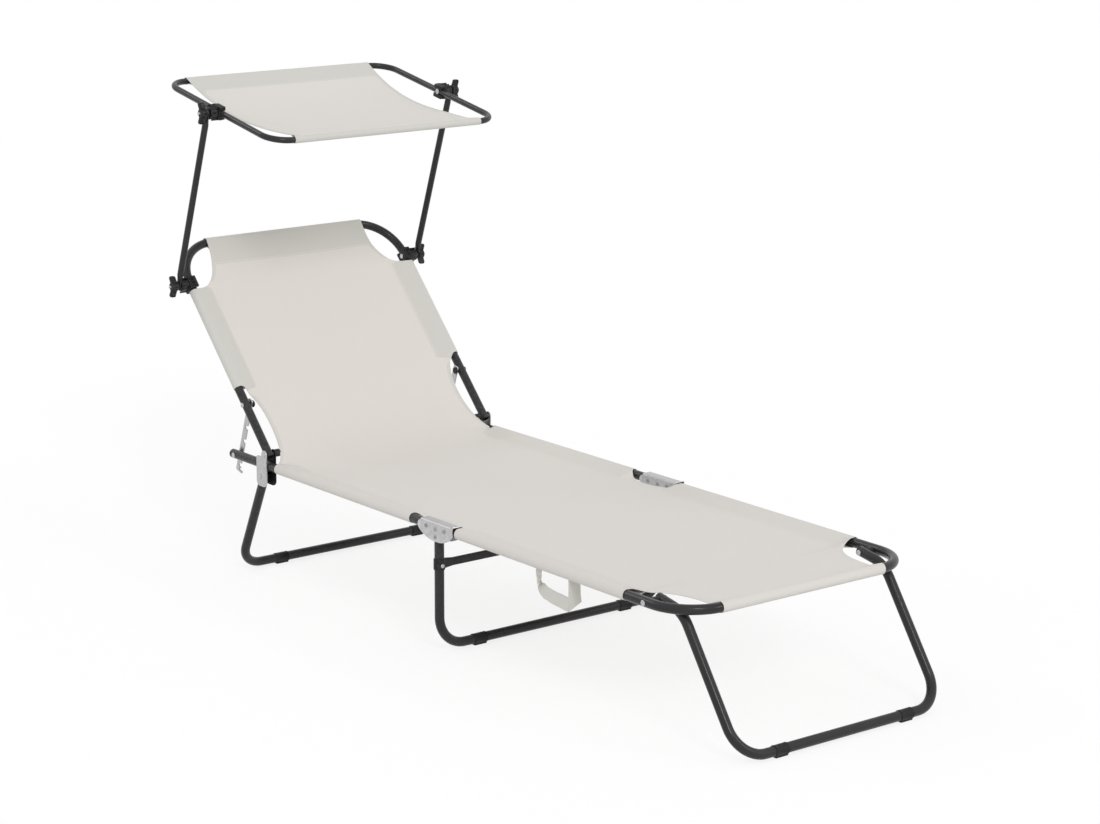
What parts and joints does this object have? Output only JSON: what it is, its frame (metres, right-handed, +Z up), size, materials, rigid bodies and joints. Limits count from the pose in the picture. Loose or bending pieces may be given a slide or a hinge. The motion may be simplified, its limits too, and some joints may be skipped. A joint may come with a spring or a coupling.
{
  "type": "folding sun lounger with canopy",
  "caption": "Folding sun lounger: bent-tube frame on hinged legs, sewn fabric sections, adjustable backrest and a tilting canopy on swinging arms.",
  "frame": {"origin": "on the floor, below the middle of the whole lounger's bounding box", "axes": "+Z up, +Y along the lounger from the foot end to the head end, -X at the sitter's right hand"},
  "size_m": [0.663, 1.8132, 1.0168],
  "materials": {
    "steel": "semi-gloss charcoal powder coat",
    "zinc": "bright zinc plate",
    "plastic": "moulded black",
    "fabric": "woven cream polyester",
    "webbing": "woven cream webbing"
  },
  "bodies": {
    "seat_frame": {"side_rail_right": "steel", "side_rail_left": "steel", "rack_pin_right": "zinc", "rack_pin_left": "zinc", "bracket_outer_right": "zinc", "bracket_outer_left": "zinc", "bracket_inner_right": "plastic", "bracket_inner_left": "plastic", "back_pivot_bolt_right": "plastic", "back_pivot_bolt_left": "plastic", "rear_leg_rivet_right": "zinc", "rear_leg_rivet_left": "zinc", "seat_hinge_rivet_right": "zinc", "seat_hinge_rivet_left": "zinc", "seat_sheet": "fabric"},
    "backrest": {"back_frame": "steel", "back_sheet": "fabric", "rack_bolt_right": "zinc", "rack_bolt_left": "zinc", "lower_clamp_right": "plastic", "lower_clamp_left": "plastic", "lower_bolt_right": "zinc", "lower_bolt_left": "zinc"},
    "rack_arm_right": {"rack_right": "zinc"},
    "rack_arm_left": {"rack_left": "zinc"},
    "canopy_arms": {"canopy_arm_right": "steel", "canopy_arm_left": "steel"},
    "canopy": {"canopy_front_tube": "steel", "canopy_back_tube": "steel", "canopy_sheet": "fabric", "upper_clamp_right": "plastic", "upper_clamp_left": "plastic", "upper_bolt_right": "zinc", "upper_bolt_left": "zinc"},
    "knob_lower_right": {"lower_knob_right": "plastic"},
    "knob_lower_left": {"lower_knob_left": "plastic"},
    "knob_upper_right": {"upper_knob_right": "plastic"},
    "knob_upper_left": {"upper_knob_left": "plastic"},
    "mid_hinge": {"hinge_plate_right": "zinc", "hinge_plate_left": "zinc", "mid_leg": "steel", "mid_leg_brace": "steel", "brace_collar_right": "plastic", "brace_collar_left": "plastic", "mid_shoe_right": "plastic", "mid_shoe_left": "plastic"},
    "foot_section": {"foot_frame": "steel", "foot_sheet": "fabric", "carry_handle": "webbing", "foot_hinge_rivet_right": "zinc", "foot_hinge_rivet_left": "zinc", "front_leg_rivet_right": "zinc", "front_leg_rivet_left": "zinc"},
    "front_leg_loop": {"front_leg": "steel", "front_shoe_right": "plastic", "front_shoe_left": "plastic"},
    "rear_leg_loop": {"rear_leg": "steel", "rear_shoe_right": "plastic", "rear_shoe_left": "plastic"}
  },
  "joints": [
    {"name": "backrest_tilt", "type": "hinge", "parent": "seat_frame", "child": "backrest", "pos_m": [0, 0.53297, 0.277], "axis": [1, 0, 0], "range_deg": [-47, 15]},
    {"name": "rack_right_swing", "type": "hinge", "parent": "backrest", "child": "rack_arm_right", "pos_m": [-0.2665, 0.61618, 0.36623], "axis": [1, 0, 0], "range_deg": [-15, 47]},
    {"name": "rack_left_swing", "type": "hinge", "parent": "backrest", "child": "rack_arm_left", "pos_m": [0.2665, 0.61618, 0.36623], "axis": [1, 0, 0], "range_deg": [-15, 47]},
    {"name": "canopy_arm_swing", "type": "hinge", "parent": "backrest", "child": "canopy_arms", "pos_m": [0, 0.82419, 0.58929], "axis": [1, 0, 0], "range_deg": [-60, 45]},
    {"name": "canopy_tilt", "type": "hinge", "parent": "canopy_arms", "child": "canopy", "pos_m": [0, 0.69396, 0.9703], "axis": [1, 0, 0], "range_deg": [-90, 60]},
    {"name": "knob_lower_right_turn", "type": "hinge", "parent": "backrest", "child": "knob_lower_right", "pos_m": [-0.321, 0.82419, 0.58929], "axis": [1, 0, 0], "continuous": true},
    {"name": "knob_lower_left_turn", "type": "hinge", "parent": "backrest", "child": "knob_lower_left", "pos_m": [0.321, 0.82419, 0.58929], "axis": [1, 0, 0], "continuous": true},
    {"name": "knob_upper_right_turn", "type": "hinge", "parent": "canopy", "child": "knob_upper_right", "pos_m": [-0.321, 0.69396, 0.9703], "axis": [1, 0, 0], "continuous": true},
    {"name": "knob_upper_left_turn", "type": "hinge", "parent": "canopy", "child": "knob_upper_left", "pos_m": [0.321, 0.69396, 0.9703], "axis": [1, 0, 0], "continuous": true},
    {"name": "mid_hinge_fold", "type": "hinge", "parent": "seat_frame", "child": "mid_hinge", "pos_m": [0, -0.03503, 0.252], "axis": [1, 0, 0], "range_deg": [0, 88]},
    {"name": "foot_fold", "type": "hinge", "parent": "mid_hinge", "child": "foot_section", "pos_m": [0, -0.09303, 0.252], "axis": [1, 0, 0], "range_deg": [0, 88], "deforming": ["carry_handle"]},
    {"name": "front_leg_fold", "type": "hinge", "parent": "foot_section", "child": "front_leg_loop", "pos_m": [0, -0.67903, 0.252], "axis": [1, 0, 0], "range_deg": [0, 126]},
    {"name": "rear_leg_fold", "type": "hinge", "parent": "seat_frame", "child": "rear_leg_loop", "pos_m": [0, 0.54897, 0.228], "axis": [-1, 0, 0], "range_deg": [0, 115]}
  ],
  "couplings": [
    {"joint": "rack_right_swing", "follows": "backrest_tilt", "ratio": -1},
    {"joint": "rack_left_swing", "follows": "backrest_tilt", "ratio": -1},
    {"joint": "foot_fold", "follows": "mid_hinge_fold", "ratio": 1},
    {"joint": "front_leg_fold", "follows": "mid_hinge_fold", "ratio": 1.4318},
    {"joint": "rear_leg_fold", "follows": "mid_hinge_fold", "ratio": 1.3068}
  ]
}
